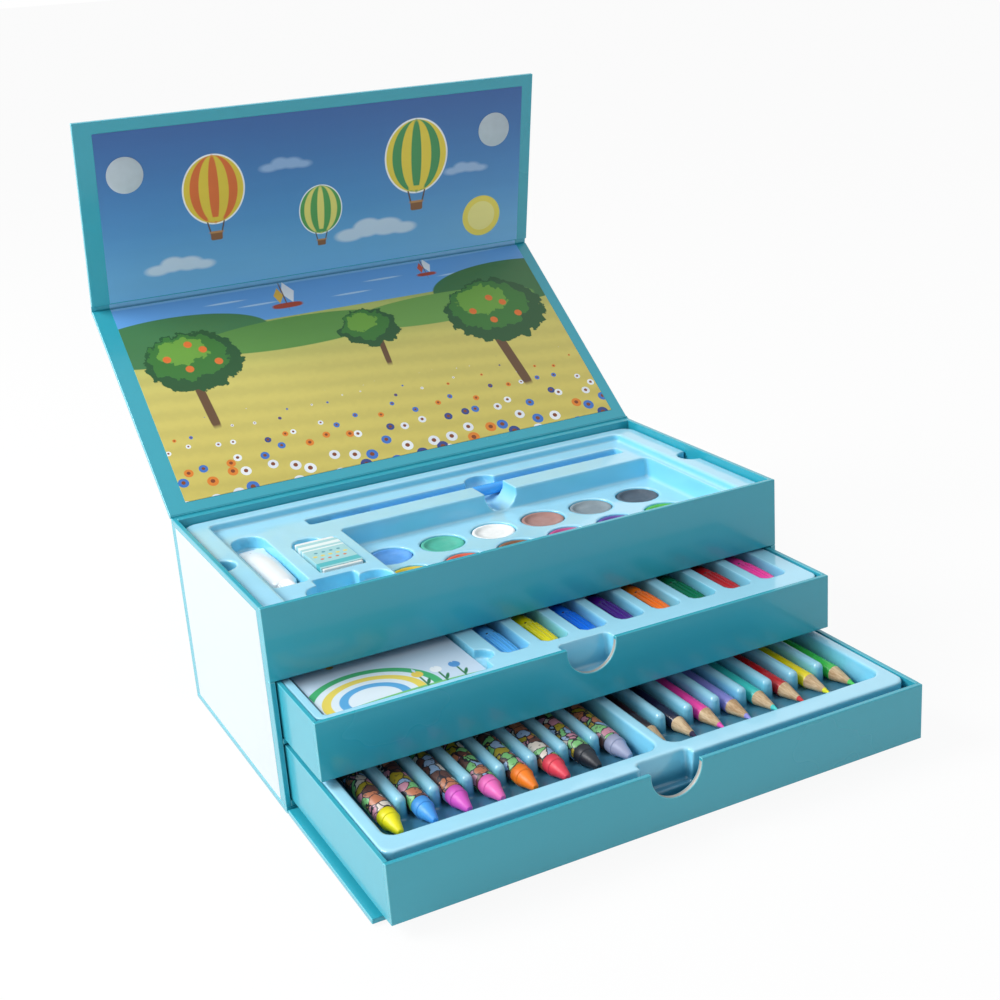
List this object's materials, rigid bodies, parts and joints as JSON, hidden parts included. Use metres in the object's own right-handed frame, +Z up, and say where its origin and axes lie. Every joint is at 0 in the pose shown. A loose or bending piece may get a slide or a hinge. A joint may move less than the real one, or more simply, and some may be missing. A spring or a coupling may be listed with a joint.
{
  "type": "art set drawer box",
  "caption": "Wrapped greyboard art box with a hinged lid and front flaps, a fixed top tray and pull-out drawers that hold crayons, pencils, markers and paints in formed inserts.",
  "frame": {"origin": "middle of the case's footprint (without the spine board), on the table", "axes": "+X to the right as seen from the front, +Y to the back, towards the lid's hinge, +Z up"},
  "size_m": [0.27, 0.3673, 0.2898],
  "materials": {
    "turquoise_paper": "satin film-laminated wrapping paper over greyboard",
    "lid_print": "satin printed lining sheet",
    "flap_print": "satin printed lining sheet",
    "hook_tape": "off-white woven hook tape",
    "loop_tape": "off-white brushed loop tape",
    "insert_film": "glossy light blue thermoformed film",
    "card_print": "satin printed card",
    "glue_tube": "glossy white plastic",
    "eraser": "matte white rubber",
    "eraser_card": "satin printed card",
    "brush_blue": "glossy bright blue lacquer on wood",
    "brush_ferrule": "satin blue-anodised metal",
    "brush_bristles": "fine synthetic bristles",
    "paint_cakes": "chalky pressed pigment in different colours",
    "crayon_1": "satin wax stick with a printed paper sleeve",
    "crayon_2": "satin wax stick with a printed paper sleeve",
    "crayon_3": "satin wax stick with a printed paper sleeve",
    "crayon_4": "satin wax stick with a printed paper sleeve",
    "crayon_5": "satin wax stick with a printed paper sleeve",
    "crayon_6": "satin wax stick with a printed paper sleeve",
    "crayon_7": "satin wax stick with a printed paper sleeve",
    "crayon_8": "satin wax stick with a printed paper sleeve",
    "pencil_1": "glossy lacquer on wood, bare wood at the sharpened end",
    "pencil_2": "glossy lacquer on wood, bare wood at the sharpened end",
    "pencil_3": "glossy lacquer on wood, bare wood at the sharpened end",
    "pencil_4": "glossy lacquer on wood, bare wood at the sharpened end",
    "pencil_5": "glossy lacquer on wood, bare wood at the sharpened end",
    "pencil_6": "glossy lacquer on wood, bare wood at the sharpened end",
    "pencil_7": "glossy lacquer on wood, bare wood at the sharpened end",
    "pencil_8": "glossy lacquer on wood, bare wood at the sharpened end",
    "marker_1": "glossy ribbed cap on a glossy barrel",
    "marker_2": "glossy ribbed cap on a glossy barrel",
    "marker_3": "glossy ribbed cap on a glossy barrel",
    "marker_4": "glossy ribbed cap on a glossy barrel",
    "marker_5": "glossy ribbed cap on a glossy barrel",
    "marker_6": "glossy ribbed cap on a glossy barrel",
    "marker_7": "glossy ribbed cap on a glossy barrel",
    "marker_8": "glossy ribbed cap on a glossy barrel"
  },
  "bodies": {
    "case": {"base_board": "turquoise_paper", "back_board": "turquoise_paper", "body_back_panel": "turquoise_paper", "left_side_panel": "turquoise_paper", "right_side_panel": "turquoise_paper", "bottom_panel": "turquoise_paper", "drawer_divider": "turquoise_paper", "upper_shelf": "turquoise_paper", "front_band": "turquoise_paper", "base_flap_crease": "turquoise_paper", "lid_crease": "turquoise_paper", "top_insert": "insert_film", "paint_cakes": "paint_cakes", "brush_handle": "brush_blue", "brush_ferrule": "brush_ferrule", "brush_bristles": "brush_bristles", "glue_tube": "glue_tube", "eraser_block": "eraser", "eraser_sleeve": "eraser_card"},
    "lid": {"lid_board": "turquoise_paper", "lid_lining": "lid_print"},
    "lid_fold": {"lid_flap_crease": "turquoise_paper"},
    "lid_flap": {"lid_flap_board": "turquoise_paper", "lid_flap_lining": "flap_print", "hook_dots": "hook_tape"},
    "base_flap": {"base_flap_board": "turquoise_paper", "loop_dots": "loop_tape"},
    "middle_drawer": {"middle_drawer_front": "turquoise_paper", "middle_drawer_walls": "turquoise_paper", "middle_drawer_floor": "turquoise_paper", "middle_insert": "insert_film", "card_pad": "card_print", "marker_1": "marker_1", "marker_2": "marker_2", "marker_3": "marker_3", "marker_4": "marker_4", "marker_5": "marker_5", "marker_6": "marker_6", "marker_7": "marker_7", "marker_8": "marker_8"},
    "bottom_drawer": {"bottom_drawer_front": "turquoise_paper", "bottom_drawer_walls": "turquoise_paper", "bottom_drawer_floor": "turquoise_paper", "bottom_insert": "insert_film", "crayon_1": "crayon_1", "crayon_2": "crayon_2", "crayon_3": "crayon_3", "crayon_4": "crayon_4", "crayon_5": "crayon_5", "crayon_6": "crayon_6", "crayon_7": "crayon_7", "crayon_8": "crayon_8", "pencil_1": "pencil_1", "pencil_2": "pencil_2", "pencil_3": "pencil_3", "pencil_4": "pencil_4", "pencil_5": "pencil_5", "pencil_6": "pencil_6", "pencil_7": "pencil_7", "pencil_8": "pencil_8"}
  },
  "joints": [
    {"name": "lid_hinge", "type": "hinge", "parent": "case", "child": "lid", "pos_m": [0, 0.07125, 0.1005], "axis": [-1, 0, 0], "range_deg": [-142.3, 37.7]},
    {"name": "lid_fold", "type": "hinge", "parent": "lid", "child": "lid_fold", "pos_m": [0, 0.18558, 0.18609], "axis": [1, 0, 0], "range_deg": [-64.5, 17.2]},
    {"name": "lid_flap_hinge", "type": "hinge", "parent": "lid_fold", "child": "lid_flap", "pos_m": [0, 0.18474, 0.18999], "axis": [-1, 0, 0], "range_deg": [-90, 64.5]},
    {"name": "base_flap_hinge", "type": "hinge", "parent": "case", "child": "base_flap", "pos_m": [0, -0.07065, 0.0015], "axis": [-1, 0, 0], "range_deg": [-90, 1.5]},
    {"name": "middle_drawer_slide", "type": "slide", "parent": "case", "child": "middle_drawer", "axis": [0, -1, 0], "range_m": [-0.046, 0.074]},
    {"name": "bottom_drawer_slide", "type": "slide", "parent": "case", "child": "bottom_drawer", "axis": [0, -1, 0], "range_m": [-0.1125, 0.0075]}
  ],
  "couplings": [
    {"joint": "lid_fold", "follows": "lid_hinge", "ratio": 0.45327}
  ]
}
